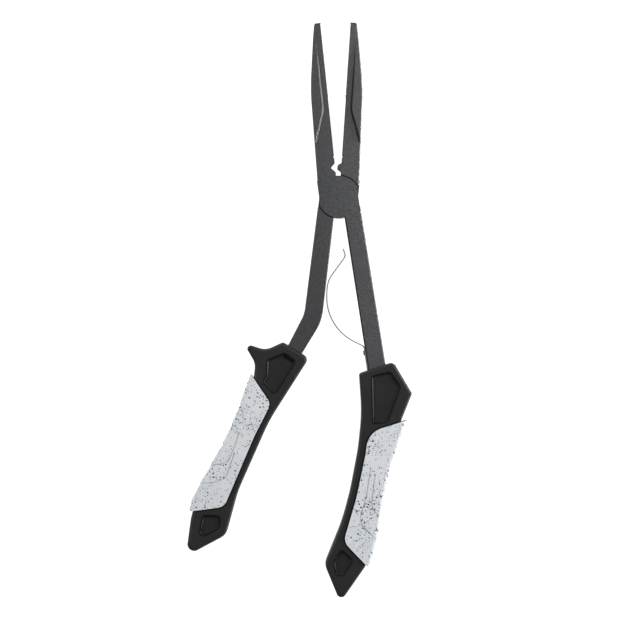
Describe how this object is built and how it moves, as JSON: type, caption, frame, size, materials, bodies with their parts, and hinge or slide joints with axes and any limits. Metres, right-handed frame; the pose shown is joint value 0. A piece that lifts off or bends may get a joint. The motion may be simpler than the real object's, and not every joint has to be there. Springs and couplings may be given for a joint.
{
  "type": "long-reach fishing pliers",
  "caption": "Long slim needle-nose pliers on a lap joint, with a leaf return spring and curved two-material grips, one with a finger horn.",
  "frame": {"origin": "on the pivot axis, at the flat underside of the lap joint", "axes": "+Z along the pivot axis, out of the front face; +Y towards the jaw tips; +X to the right seen from the front"},
  "size_m": [0.1132, 0.2866, 0.014],
  "materials": {
    "coated_steel": "fine-grained dark grey coating",
    "spring_steel": "plain spring strip",
    "grip_plastic": "matte black moulding",
    "speckled_pad": "pale grey soft moulding with dark specks"
  },
  "bodies": {
    "front": {"front_half": "coated_steel", "pivot_rivet": "coated_steel", "leaf_spring": "spring_steel", "spring_rivet": "coated_steel", "right_grip_body": "grip_plastic", "right_grip_pad": "speckled_pad"},
    "back": {"back_half": "coated_steel", "left_grip_body": "grip_plastic", "left_grip_pad": "speckled_pad"}
  },
  "joints": [
    {"name": "jaw_pivot", "type": "hinge", "parent": "front", "child": "back", "pos_m": [0, 0, 0], "axis": [0, 0, 1], "range_deg": [-6, 9.6], "stiffness_Nm_per_rad": 2.5, "deforming": ["leaf_spring"]}
  ]
}
